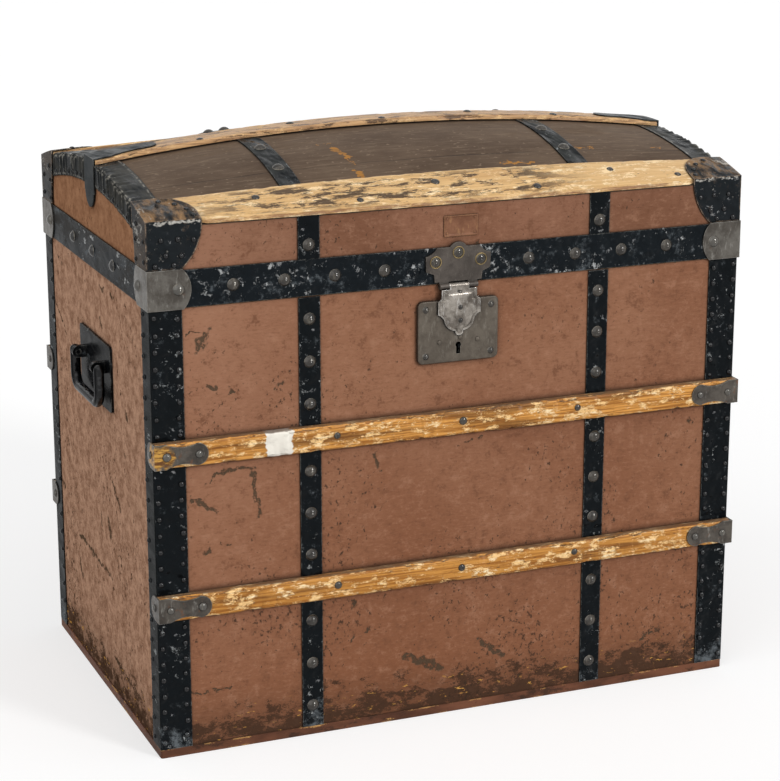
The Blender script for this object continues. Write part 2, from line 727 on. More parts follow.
@dataclass(frozen=True)
class Materials:
    """Every finish of the trunk, made once."""

    made: dict[str, bpy.types.Material] = field(default_factory=dict)

    def of(self, finish: Finish) -> bpy.types.Material:
        """The material of a finish, made on first use.

        Args:
            finish: the finish.

        Returns:
            Its material.
        """
        if finish.name not in self.made:
            self.made[finish.name] = finish.make()
            log.info("finish %s", finish.name)
        return self.made[finish.name]


@dataclass(frozen=True)
class DomeForm:
    """Shape of the canvas on the lid: an arch from front to back that swells to the middle."""

    half_x: float = 0.358
    half_y: float = 0.2215
    edge_z: float = 0.608
    rise_ends: float = 0.0325
    rise_middle: float = 0.0585

    def swell(self, x: float) -> float:
        """Rise of the arch at a place along the lid."""
        return self.rise_middle - (self.rise_middle - self.rise_ends) * (x / self.half_x) ** 2

    def height(self, x: float, y: float) -> float:
        """Height of the canvas above the floor."""
        return self.edge_z + (1 - (y / self.half_y) ** 2) * self.swell(x)

    def normal(self, x: float, y: float) -> Vector:
        """Outward direction of the canvas.

        Args:
            x: place along the lid.
            y: place from front to back.

        Returns:
            The direction.
        """
        across = 1 - (y / self.half_y) ** 2
        slope_x = across * -2 * (self.rise_middle - self.rise_ends) * x / self.half_x ** 2
        slope_y = self.swell(x) * -2 * y / self.half_y ** 2
        return Vector((-slope_x, -slope_y, 1.0)).normalized()


DOME = DomeForm()

FRONT_Y = -DOME.half_y
FRONT_MARKS = tuple(
    Mark((x0, FRONT_Y, z0), (x1, FRONT_Y, z1), width)
    for x0, z0, x1, z1, width in (
        (-0.300, 0.318, -0.278, 0.335, 0.0016), (-0.282, 0.328, -0.249, 0.330, 0.0032),
        (-0.315, 0.302, -0.286, 0.282, 0.0042), (-0.302, 0.241, -0.297, 0.241, 0.0040),
        (-0.285, 0.246, -0.272, 0.243, 0.0022), (-0.245, 0.329, -0.239, 0.275, 0.0040),
        (-0.331, 0.073, -0.275, 0.073, 0.0024), (-0.099, 0.331, -0.096, 0.311, 0.0040),
        (-0.294, 0.493, -0.298, 0.483, 0.0050), (-0.298, 0.483, -0.306, 0.470, 0.0062),
        (-0.297, 0.427, -0.287, 0.426, 0.0034), (-0.271, 0.424, -0.269, 0.417, 0.0032),
        (-0.215, 0.420, -0.208, 0.424, 0.0034), (-0.323, 0.488, -0.303, 0.492, 0.0014),
        (0.013, 0.330, 0.033, 0.335, 0.0022),
        (-0.062, 0.079, -0.018, 0.056, 0.0060), (-0.131, 0.108, -0.103, 0.119, 0.0020),
        (0.033, 0.084, 0.060, 0.061, 0.0045), (0.247, 0.052, 0.274, 0.067, 0.0030)))
LEFT_X = -DOME.half_x
END_MARKS = tuple(
    Mark((LEFT_X, y0, z0), (LEFT_X, y1, z1), width)
    for y0, z0, y1, z1, width in (
        (0.113, 0.159, -0.031, 0.150, 0.0036), (-0.050, 0.274, -0.081, 0.248, 0.0030),
        (-0.026, 0.219, -0.033, 0.204, 0.0062), (0.214, 0.205, 0.179, 0.202, 0.0040),
        (0.118, 0.123, 0.106, 0.106, 0.0045), (-0.032, 0.051, -0.120, 0.042, 0.0030),
        (-0.115, 0.375, -0.119, 0.368, 0.0042), (-0.018, 0.501, -0.035, 0.500, 0.0036),
        (-0.066, 0.504, -0.077, 0.500, 0.0034), (-0.017, 0.462, -0.025, 0.452, 0.0034),
        (0.169, 0.501, 0.151, 0.492, 0.0030), (0.202, 0.446, 0.118, 0.392, 0.0022),
        (0.009, 0.216, 0.003, 0.197, 0.0024)))
DOME_MARKS = tuple(
    Mark((x0, y0, DOME.height(x0, y0)), (x1, y1, DOME.height(x1, y1)), width)
    for x0, y0, x1, y1, width in (
        (-0.109, -0.076, -0.095, -0.075, 0.0014), (-0.097, -0.090, -0.091, -0.115, 0.0050),
        (-0.091, -0.115, -0.091, -0.135, 0.0016), (-0.092, -0.150, -0.088, -0.171, 0.0042),
        (0.088, -0.155, 0.122, -0.158, 0.0034), (0.195, -0.125, 0.214, -0.126, 0.0026),
        (0.294, -0.124, 0.309, -0.126, 0.0018)))
CLAMP_BREAK = (Mark((-0.361, -0.2345, 0.357), (-0.350, -0.2345, 0.357), 0.015),
               Mark((-0.361, -0.2345, 0.357), (-0.361, -0.2250, 0.357), 0.015))
CAP_FOLDS = tuple(Mark((sign * 0.356, -0.2226, 0.6125), (sign * 0.301, -0.2226, 0.6125), 0.0018)
                  for sign in (-1, 1))
BAND_SCRATCH = (Mark((-0.360, -0.138, 0.556), (-0.360, -0.134, 0.530), 0.0012),)

BODY_CANVAS = PaintedCanvas("brown_canvas", Slot.BROWN_CANVAS, marks=FRONT_MARKS + END_MARKS)
LID_CANVAS = PaintedCanvas("lid_brown_canvas", Slot.BROWN_CANVAS, paint=(140, 98, 76), deep=(120, 81, 60),
                           faded=(158, 116, 92), end_paint=(173, 128, 96), end_shade=(130, 90, 64), foot_z=0.0)
DOME_CANVAS = DarkCanvas("dark_canvas", Slot.DARK_CANVAS, marks=DOME_MARKS)
UPPER_SLAT = SlatWood("slat_oak", Slot.OAK, varnish=(218, 155, 78), dark=(84, 50, 22), bare_from=0.531,
                      patch_x=(-0.2165, 0.0165))
LOWER_SLAT = SlatWood("slat_oak_chipped", Slot.OAK, bare_from=0.530)
LID_SLAT = SlatWood("lid_slat_wood", Slot.OAK, varnish=(224, 185, 130), deep=(206, 164, 108), dark=(196, 152, 98),
                    bare=(248, 214, 164), bare_from=0.535, dirt=(58, 40, 26), dirt_from=0.498,
                    dirt_x=(-0.070, 0.27), dirt_y=(-0.198, 0.027), top_grime=0.0, foot_tint=0.8)
CROWN_SLAT = SlatWood("crown_slat_wood", Slot.OAK, varnish=(206, 164, 116), deep=(156, 118, 82), dark=(124, 92, 63),
                      bare=(222, 182, 130), bright=(240, 206, 156), bare_from=0.55, dirt=(84, 62, 44),
                      dirt_from=0.545, top_grime=0.0)
PINE_LONG = BoardWood("pine_board", Slot.PINE)
PINE_END = BoardWood("pine_end_board", Slot.PINE, grain=Grain.ALONG_Y)
BASE_BOARD = PaintedBoard("base_wood", Slot.BASE)
IRON = PaintedIron("black_iron", Slot.IRON, chip=(176, 180, 180), end_dust=0.6)
BAND_IRON = PaintedIron("band_iron", Slot.IRON, paint=(19, 24, 28), dusty=(48, 44, 39), scuff=(100, 106, 110),
                        scuff_from=0.530, chip=(190, 192, 192), chip_from=0.654, end_dust=0.7, marks=BAND_SCRATCH)
TACK_IRON = PaintedIron("tack_iron", Slot.IRON, paint=(14, 15, 17), bare=(112, 112, 108), gloss=0.07,
                        shine=0.35, dust_share=0.25, edge_width=0.0006, dents=0.08)
RIVET_IRON = WornSteel("rivet_iron", Slot.IRON, tint=(66, 61, 54), dark=(36, 33, 30), bright=(142, 134, 119),
                       metal=0.3, shine=0.55, gloss=0.11, gloss_range=0.10, foot_shade=0.97, relief=0.05,
                       soft_edge=0.0, corner_tone=(92, 89, 83), corner_share=0.7)
EDGING_IRON = PaintedIron("edging_iron", Slot.IRON, paint=(38, 40, 41), dusty=(66, 65, 61), scuff=(104, 96, 84),
                          scuff_from=0.57, dust_share=0.8, edge_width=0.0005, gloss=0.26,
                          ridge_tone=(146, 142, 133), ridge_share=0.85)
CROWN_IRON = PaintedIron("crown_clamp_iron", Slot.IRON, paint=(44, 48, 50), dusty=(64, 67, 68),
                         scuff=(108, 110, 108), dust_share=0.7, gloss=0.32)
BAIL_IRON = PaintedIron("bail_iron", Slot.IRON, paint=(13, 14, 16), dust_share=0.12, scuff_from=0.68,
                        gloss=0.18, shine=0.25)
HANDLE_IRON = PaintedIron("handle_iron", Slot.IRON, paint=(14, 15, 17), dusty=(50, 51, 51), dust_share=0.3,
                          dust_from=0.50, gloss=0.22, shine=0.08)
STEEL = WornSteel("worn_steel", Slot.STEEL, tint=(98, 94, 88), dark=(66, 61, 55), bright=(158, 155, 148))
LOCK_STEEL = WornSteel("lock_steel", Slot.STEEL, tint=(98, 90, 80), dark=(78, 70, 61), bright=(132, 126, 116),
                       rust_from=0.66, foot_shade=0.95, foot_reach=0.010)
PLATE_STEEL = WornSteel("hasp_plate_steel", Slot.STEEL, tint=(84, 77, 71), dark=(62, 56, 51),
                        bright=(118, 112, 103), rust_from=0.64)
HASP_STEEL = WornSteel("hasp_steel", Slot.STEEL, tint=(162, 155, 146), dark=(90, 83, 76),
                       bright=(244, 241, 236), rust_from=0.70, metal=0.7, gloss=0.18, relief=0.5)
CLAMP_STEEL = WornSteel("clamp_steel", Slot.STEEL, tint=(86, 80, 73), dark=(56, 51, 46), rust_from=0.57,
                        marks=CLAMP_BREAK)
BRASS = WornSteel("brass_collar", Slot.STEEL, tint=(138, 118, 80), dark=(92, 78, 54), bright=(176, 158, 114),
                  rust_from=0.68, metal=0.6)
LABEL_PAINT = WornSteel("label_paint", Slot.BROWN_CANVAS, tint=(136, 94, 70), dark=(112, 74, 54),
                        bright=(176, 134, 92), rust=(96, 60, 40), metal=0.0, gloss=0.4, shine=0.15)
CAP_IRON = PaintedIron("cap_leather", Slot.CAP, paint=(28, 32, 35), chip=(186, 182, 174), chip_from=0.624,
                       dusty=(166, 130, 92), bare=(190, 164, 140), edge_width=0.0030, scuff=(116, 96, 80),
                       scuff_from=0.565, dust_from=0.40, end_dust=0.15, marks=CAP_FOLDS)


def named(*patterns: str) -> tuple[str, ...]:
    """Names of patterns in which {y} stands for front and back, and {x} for left and right."""
    ways = [{"y": y, "x": x} for y in ("front", "back") for x in ("left", "right")]
    return tuple(dict.fromkeys(pattern.format(**way) for pattern in patterns for way in ways))


NODE_FINISHES: dict[Finish, tuple[str, ...]] = {
    BASE_BOARD: ("base_board",),
    PINE_LONG: named("{y}_board", "lid_{y}_board", "lid_dome_panel"),
    PINE_END: named("{x}_end_board", "lid_{x}_end_board"),
    BODY_CANVAS: ("body_canvas",),
    LID_CANVAS: ("lid_side_canvas",),
    DOME_CANVAS: ("lid_top_canvas",),
    IRON: named("corner_binding_{y}_{x}", "{y}_strap_{x}", "lid_strap_{x}", "lock_case"),
    BAND_IRON: named("lid_band_{y}", "lid_band_{x}"),
    RIVET_IRON: ("body_rivets", "lid_rivets", "hinge_pins", "hasp_pin"),
    CROWN_IRON: ("crown_clamps",),
    BAIL_IRON: named("handle_bail_{x}"),
    HANDLE_IRON: named("handle_plate_{x}"),
    STEEL: ("band_clips", "hinge_body_leaves", "hinge_lid_leaves", "lock_bolt", "hasp_staple"),
    LOCK_STEEL: ("lock_plate",),
    PLATE_STEEL: ("hasp_plate",),
    HASP_STEEL: ("hasp_tongue",),
    CLAMP_STEEL: named("{y}_slat_clamps"),
    CAP_IRON: named("corner_cap_{y}_{x}"),
}
MATERIALS = Materials()


def set_piece(made: bpy.types.Object, body: Body, stands_for: Iterable[str] = ()) -> None:
    """Tie a finished piece to the frame.

    Args:
        made: the piece, in place, with its material.
        body: body that it rides on.
        stands_for: CAD nodes that it replaces.
    """
    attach(made, body.value)
    nodes = tuple(stands_for)
    if nodes:
        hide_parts(*nodes)
    log.info("piece %s on %s, %d faces", made.name, body.value, len(made.data.polygons))


def linked(name: str, data: bpy.types.ID) -> bpy.types.Object:
    """Put a new object into the scene.

    Args:
        name: its name.
        data: its mesh, lamp or camera.

    Returns:
        The object.
    """
    made = bpy.data.objects.new(name, data)
    bpy.context.scene.collection.objects.link(made)
    return made


def mesh_piece(name: str, points: Iterable[Point], faces: Iterable[Sequence[int]], body: Body, finish: Finish,
               stands_for: Iterable[str] = (), sharp_angle: float = 0.7) -> None:
    """Make a closed mesh piece at the origin and tie it to the frame.

    Args:
        name: name of the piece.
        points: places of its vertices.
        faces: vertices of each face.
        body: body that it rides on.
        finish: its finish.
        stands_for: CAD nodes that it replaces.
        sharp_angle: angle above which an edge stays sharp.
    """
    mesh = bpy.data.meshes.new(name)
    mesh.from_pydata(list(points), [], list(faces))
    work = bmesh.new()
    work.from_mesh(mesh)
    bmesh.ops.recalc_face_normals(work, faces=work.faces)
    work.to_mesh(mesh)
    work.free()
    mesh.shade_smooth()
    mesh.set_sharp_from_angle(angle=sharp_angle)
    mesh.materials.append(MATERIALS.of(finish))
    set_piece(linked(name, mesh), body, stands_for)


def sweep_faces(stations: int, ring: int) -> list[list[int]]:
    """Faces of a closed tube of rings with flat ends.

    Args:
        stations: number of rings.
        ring: vertices in each ring.

    Returns:
        The faces, as vertex numbers.
    """
    faces = []
    for i in range(stations - 1):
        for j in range(ring):
            k = (j + 1) % ring
            faces.append([i * ring + j, i * ring + k, (i + 1) * ring + k, (i + 1) * ring + j])
    faces.append(list(range(ring)))
    faces.append([(stations - 1) * ring + j for j in range(ring)])
    return faces


def spread_out(half: float, stations: int) -> list[float]:
    """Evenly spaced places from minus half to half."""
    return [-half + 2 * half * i / (stations - 1) for i in range(stations)]


def spaced(start: float, end: float, pitch: float) -> list[float]:
    """Evenly spaced places from start to end, as near to the pitch as fits."""
    count = max(1, round(abs(end - start) / pitch))
    return [start + (end - start) * i / count for i in range(count + 1)]


def both_ways(values: Iterable[float]) -> list[float]:
    """Each value and its negative."""
    return [sign * value for value in values for sign in (-1, 1)]


def from_0_to_1(value: float) -> float:
    """Keep a value from 0 to 1."""
    return min(1.0, max(0.0, value))


def smooth_noise(*place: float) -> float:
    """Smooth noise at a place."""
    return noise.noise(Vector(place))


def rough_noise(*place: float, octaves: int = 4) -> float:
    """Rough noise at a place: each octave is twice as fine as the last and half as strong."""
    return noise.fractal(Vector(place), 1.0, 2.0, octaves)


class HeadTree(NodeSheet):
    """Geometry node tree that sets a low dome on each point of a mesh, turned to its own directions."""

    def __init__(self) -> None:
        """Build the tree with its named inputs."""
        super().__init__(bpy.data.node_groups.new("raised_heads", "GeometryNodeTree"))
        sockets = self.tree.interface
        sockets.new_socket("Points", in_out="INPUT", socket_type="NodeSocketGeometry")
        self.inputs = {
            name: sockets.new_socket(name, in_out="INPUT", socket_type="NodeSocket" + kind).identifier
            for name, kind in (("Width", "Float"), ("Height", "Float"), ("Spread", "Float"), ("Seed", "Int"),
                               ("Material", "Material"))}
        sockets.new_socket("Heads", in_out="OUTPUT", socket_type="NodeSocketGeometry")
        given = self.node("NodeGroupInput").outputs
        sizes = {2: self.math("SUBTRACT", 1.0, given["Spread"]), 3: self.math("ADD", 1.0, given["Spread"])}
        heads = self.out("Instances", "GeometryNodeInstanceOnPoints", {
            "Points": given["Points"], "Instance": self.head(given["Width"], given["Height"]),
            "Rotation": self.turned("X", "along", "Z", self.turned("Z", "facing", "AUTO")),
            "Scale": self.out(1, "FunctionNodeRandomValue", {**sizes, "Seed": given["Seed"]}, data_type="FLOAT")})
        for kind, feeds in (("RealizeInstances", {}), ("SetShadeSmooth", {}),
                            ("SetMaterial", {"Material": given["Material"]})):
            heads = self.out("Geometry", "GeometryNode" + kind, {"Geometry": heads, **feeds})
        self.node("NodeGroupOutput", {"Heads": heads})

    def head(self, width: Socket, height: Socket) -> Socket:
        """Ball with its lower half pressed flat.

        Args:
            width: width of the head.
            height: height of the head.

        Returns:
            The head's geometry.
        """
        ball = self.out("Mesh", "GeometryNodeMeshUVSphere", {"Segments": 12, "Rings": 8, "Radius": 1.0})
        place = self.node("GeometryNodeInputPosition").outputs["Position"]
        x, y, z = self.node("ShaderNodeSeparateXYZ", {"Vector": place}).outputs
        flat = self.out("Vector", "ShaderNodeCombineXYZ", {"X": x, "Y": y, "Z": self.math("MAXIMUM", z, HEAD_FOOT)})
        pressed = self.out("Geometry", "GeometryNodeSetPosition", {"Geometry": ball, "Position": flat})
        half = self.math("MULTIPLY", width, 0.5)
        scale = self.out("Vector", "ShaderNodeCombineXYZ", {"X": half, "Y": half, "Z": height})
        return self.out("Geometry", "GeometryNodeTransform", {"Geometry": pressed, "Scale": scale})

    def turned(self, axis: str, attribute: str, pivot: str, start: Socket | None = None) -> Socket:
        """Rotation that points an axis along a stored direction.

        Args:
            axis: axis of the head.
            attribute: name of the direction stored on the points.
            pivot: axis to turn about, or AUTO.
            start: rotation to start from, if any.

        Returns:
            The rotation.
        """
        feeds: Feeds = {"Vector": self.out("Attribute", "GeometryNodeInputNamedAttribute", {"Name": attribute},
                                           data_type="FLOAT_VECTOR")}
        if start is not None:
            feeds["Rotation"] = start
        return self.out("Rotation", "FunctionNodeAlignRotationToVector", feeds, axis=axis, pivot_axis=pivot)


@dataclass
class HeadRow:
    """Heads to be set on one body: where each one sits and which way it looks."""

    name: str
    body: Body
    finish: Finish
    width: float
    height: float
    seed: int
    spread: float = 0.12
    points: list[Point] = field(default_factory=list)
    facings: list[Sequence[float]] = field(default_factory=list)
    alongs: list[Sequence[float]] = field(default_factory=list)

    def put(self, place: Point, facing: Sequence[float], along: Sequence[float] = (0, 0, 1)) -> None:
        """Add one head.

        Args:
            place: where its foot sits.
            facing: way that it looks.
            along: way that its mesh is turned.
        """
        self.points.append(place)
        self.facings.append(facing)
        self.alongs.append(along)

    def build(self, tree: HeadTree) -> None:
        """Set the heads and turn them into one plain mesh.

        Args:
            tree: tree that sets them.
        """
        mesh = bpy.data.meshes.new(self.name + "_points")
        mesh.from_pydata(self.points, [], [])
        for label, values in (("facing", self.facings), ("along", self.alongs)):
            stored = mesh.attributes.new(label, "FLOAT_VECTOR", "POINT")
            stored.data.foreach_set("vector", [part for value in values for part in value])
        made = linked(self.name, mesh)
        setter = made.modifiers.new("heads", "NODES")
        setter.node_group = tree.tree
        for label, value in (("Width", self.width), ("Height", self.height), ("Spread", self.spread),
                             ("Seed", self.seed), ("Material", MATERIALS.of(self.finish))):
            setter[tree.inputs[label]] = value
        graph = bpy.context.evaluated_depsgraph_get()
        made.data = bpy.data.meshes.new_from_object(made.evaluated_get(graph))
        made.modifiers.clear()
        set_piece(made, self.body)


@dataclass
class BodySlats:
    """Oak slats across the front and the back, with their long edges knocked and worn."""

    half_length: float = 0.3595
    half_width: float = 0.01425
    thick: float = 0.010
    seat_y: float = 0.223
    round_radius: float = 0.0032
    heights: dict[str, float] = field(default_factory=lambda: {"lower": 0.180, "upper": 0.357})
    stations: int = 420
    arc_steps: int = 5
    knock_depth: float = 0.0022
    ripple_depth: float = 0.00018
    least_wear: float = 0.3
    knock_from: float = 0.05
    knock_scale: Spot = (55.0, 160.0)
    ripple_scale: Spot = (14.0, 90.0)
    nail_x: tuple[float, ...] = (-0.149, 0.004, 0.149)
    nail_up: float = 0.002
    clamp_nail_in: tuple[float, ...] = (0.0125, 0.0495)
    clamp_thick: float = 0.0015
    end_nail_back: float = 0.004

    def section(self) -> list[Point]:
        """Rounded outline of a slat.

        Returns:
            Depth, height and share of wear of each point.
        """
        outline = [(0.0, -self.half_width, 0.0), (0.0, self.half_width, 0.0)]
        reach = self.half_width - self.round_radius
        for side in (1, -1):
            for i in range(self.arc_steps + 1):
                share = i / self.arc_steps if side > 0 else 1 - i / self.arc_steps
                angle = share * math.pi / 2
                depth = self.thick - self.round_radius * (1 - math.sin(angle))
                outline.append((depth, side * (reach + self.round_radius * math.cos(angle)),
                                math.sin(2 * angle) * (1 - self.least_wear) + self.least_wear))
        return outline

    def worn(self, x: float, point: Point, seed: float) -> Spot:
        """Wear down a point of the outline.

        Args:
            x: place along the slat.
            point: depth, height and share of wear.
            seed: number of the slat's own pattern.

        Returns:
            Its depth and height.
        """
        depth, up, wear = point
        rag = rough_noise(x * self.knock_scale[0], up * self.knock_scale[1], seed)
        loss = max(0.0, rag - self.knock_from) * wear * self.knock_depth * 2
        ripple = smooth_noise(x * self.ripple_scale[0], up * self.ripple_scale[1], seed + 3)
        loss_deep = loss + abs(ripple * self.ripple_depth * wear)
        return max(0.0, depth - loss_deep) if depth else 0.0, up * (1 - loss / self.half_width)

    def build(self) -> None:
        """Build the four slats."""
        section = self.section()
        faces = sweep_faces(self.stations, len(section))
        for side, sign in (("front", -1), ("back", 1)):
            for level, height in self.heights.items():
                points = []
                for x in spread_out(self.half_length, self.stations):
                    for point in section:
                        depth, up = self.worn(x, point, height * 40 + sign * 7)
                        points.append((x, sign * (self.seat_y + depth), height + up))
                name = f"{side}_slat_{level}"
                finish = LOWER_SLAT if level == "lower" else UPPER_SLAT
                mesh_piece(name + "_wood", points, faces, Body.CHEST, finish, (name,))

    def nails(self, row: HeadRow, clamp_row: HeadRow) -> None:
        """Place the nails along the slats and on their clamps.

        Args:
            row: row for the nails in the wood.
            clamp_row: row for the nails of the clamps.
        """
        face = self.seat_y + self.thick
        for sign in (-1, 1):
            for height in self.heights.values():
                for x in self.nail_x:
                    row.put((x, sign * face, height + self.nail_up), (0, sign, 0))
                for x in both_ways(self.half_length - inset for inset in self.clamp_nail_in):
                    clamp_row.put((x, sign * (face + self.clamp_thick), height), (0, sign, 0))
                for end in (-1, 1):
                    clamp_row.put((end * (self.half_length + self.clamp_thick),
                                   sign * (self.seat_y - self.end_nail_back), height), (end, 0, 0))


@dataclass
class LidSlats:
    """Slats bent along the dome: front edge, back edge and crown."""

    seat: float = 0.0018
    edge_top: float = 0.0056
    crown_top: float = 0.0071
    edge_width: float = 0.050
    crown_half: float = 0.020
    overhang: float = 0.0022
    overhang_end: float = 0.296
    overhang_fade: float = 0.004
    nail_sunk: float = 0.0004
    round_radius: float = 0.0024
    stations: int = 420
    arc_steps: int = 4
    top_steps: int = 8
    knock_depth: float = 0.0016
    knock_scale: Spot = (45.0, 120.0)
    top_wear: float = 0.2
    edge_nails: tuple[Spot, ...] = (
        (-0.226, 0.190), (-0.112, 0.211), (-0.014, 0.191), (0.103, 0.211), (0.206, 0.189), (0.285, 0.207))
    crown_nails: tuple[Spot, ...] = (
        (-0.232, -0.013), (-0.116, 0.004), (-0.007, -0.013), (0.112, 0.006), (0.218, -0.013))

    def section(self, y_from: float, y_to: float, top: float) -> list[Point]:
        """Outline across a slat: place, lift above the canvas and share of wear of each point.

        Args:
            y_from: front edge.
            y_to: back edge.
            top: lift of its top.

        Returns:
            The outline, from the foot of the front edge round to the foot of the back edge.
        """
        radius = self.round_radius
        arc = []
        for i in range(self.arc_steps + 1):
            angle = i / self.arc_steps * math.pi / 2
            arc.append((radius * (1 - math.cos(angle)), top - radius * (1 - math.sin(angle)),
                        1.0 - 0.5 * i / self.arc_steps))
        flat = (y_to - y_from - 2 * radius) / self.top_steps
        return [(y_from, self.seat, 0.0), *((y_from + inset, lift, wear) for inset, lift, wear in arc),
                *((y_from + radius + flat * i, top, self.top_wear) for i in range(1, self.top_steps)),
                *((y_to - inset, lift, wear) for inset, lift, wear in reversed(arc)), (y_to, self.seat, 0.0)]

    def build(self) -> None:
        """Build the three slats."""
        inner = DOME.half_y - self.edge_width
        spans = {"front": (-DOME.half_y, -inner, self.edge_top), "back": (inner, DOME.half_y, self.edge_top),
                 "crown": (-self.crown_half, self.crown_half, self.crown_top)}
        for seed, (place, (y_from, y_to, top)) in enumerate(spans.items()):
            section = self.section(y_from, y_to, top)
            points = []
            for x in spread_out(DOME.half_x, self.stations):
                free = from_0_to_1((self.overhang_end - abs(x)) / self.overhang_fade)
                for y, lift, wear in section:
                    rag = rough_noise(x * self.knock_scale[0], y * self.knock_scale[1], seed * 5.0)
                    loss = max(0.0, rag) * wear * self.knock_depth
                    out = y
                    if place != "crown" and abs(abs(y) - DOME.half_y) < self.round_radius * 1.01:
                        out = y + math.copysign(self.overhang * free, y)
                    points.append((x, out - math.copysign(loss, y - (y_from + y_to) / 2),
                                   DOME.height(x, out) + max(self.seat, lift - loss)))
            mesh_piece(f"lid_slat_{place}_wood", points, sweep_faces(self.stations, len(section)), Body.LID,
                       CROWN_SLAT if place == "crown" else LID_SLAT, (f"lid_slat_{place}",))

    def nails(self, row: HeadRow) -> None:
        """Place the nails in a zigzag along the slats.

        Args:
            row: row for the nails.
        """
        spots = [(x, sign * y, self.edge_top) for sign in (-1, 1) for x, y in self.edge_nails]
        for x, y, top in spots + [(x, y, self.crown_top) for x, y in self.crown_nails]:
            row.put((x, y, DOME.height(x, y) + top - self.nail_sunk), DOME.normal(x, y), (1, 0, 0))


@dataclass
class BindingTacks:
    """Small tacks along the corner bindings."""

    face_x: float = 0.3595
    face_y: float = 0.223
    foot_z: float = 0.018
    head_z: float = 0.510
    pitch: float = 0.0188
    rows_in: tuple[float, ...] = (0.0055, 0.0315)
    side_in: float = 0.0245
    slat_z: tuple[float, ...] = (0.180, 0.357)
    slat_clear: float = 0.019
    stray: float = 0.0018
    side_stray: float = 0.0015
    stray_scale: float = 300.0
    row_foot_step: float = 0.006
    row_head_step: float = 0.003
    side_spacing: float = 1.25

    def places(self, start: float, end: float, pitch: float) -> list[float]:
        """Heights along a binding that are clear of the slats and their clamps."""
        return [z for z in spaced(start, end, pitch) if all(abs(z - at) > self.slat_clear for at in self.slat_z)]

    def build(self, row: HeadRow) -> None:
        """Place the tacks of the four bindings.

        Args:
            row: row for the tacks.
        """
        for sign_x in (-1, 1):
            for sign_y in (-1, 1):
                for k, inset in enumerate(self.rows_in):
                    foot, head = self.foot_z + self.row_foot_step * k, self.head_z - self.row_head_step * k
                    for z in self.places(foot, head, self.pitch):
                        stray = smooth_noise(z * self.stray_scale, sign_x * 3 + k, sign_y) * self.stray
                        row.put((sign_x * (self.face_x - inset + stray), sign_y * self.face_y, z + stray),
                                (0, sign_y, 0))
                for z in self.places(self.foot_z, self.head_z, self.pitch * self.side_spacing):
                    stray = smooth_noise(z * self.stray_scale, sign_x * 3 + 9, sign_y) * self.side_stray
                    row.put((sign_x * self.face_x, sign_y * (self.face_y - self.side_in + stray), z), (sign_x, 0, 0))


@dataclass
class CapTacks:
    """Tacks on the front, end and top leaves of the corner caps."""

    front_y: float = 0.2230
    end_x: float = 0.3608
    top_lift: float = 0.0073
    front_spots: tuple[Spot, ...] = (
        (0.344, 0.594), (0.325, 0.594), (0.3075, 0.5925), (0.339, 0.577), (0.3215, 0.576), (0.351, 0.566),
        (0.330, 0.566))
    end_spots: tuple[Spot, ...] = ((0.184, 0.568), (0.184, 0.590), (0.186, 0.607), (0.214, 0.570), (0.213, 0.592))
    top_spots: tuple[Spot, ...] = ((0.3045, 0.2145), (0.3085, 0.202), (0.318, 0.190), (0.333, 0.1805))

    def build(self, row: HeadRow) -> None:
        """Place the tacks of the four caps.

        Args:
            row: row for the tacks.
        """
        for sign_x in (-1, 1):
            for sign_y in (-1, 1):
                for x, z in self.front_spots:
                    row.put((sign_x * x, sign_y * self.front_y, z), (0, sign_y, 0))
                for y, z in self.end_spots:
                    row.put((sign_x * self.end_x, sign_y * y, z), (sign_x, 0, 0))
                for x, y in self.top_spots:
                    row.put((sign_x * x, sign_y * y, DOME.height(x, y) + self.top_lift),
                            DOME.normal(sign_x * x, sign_y * y))


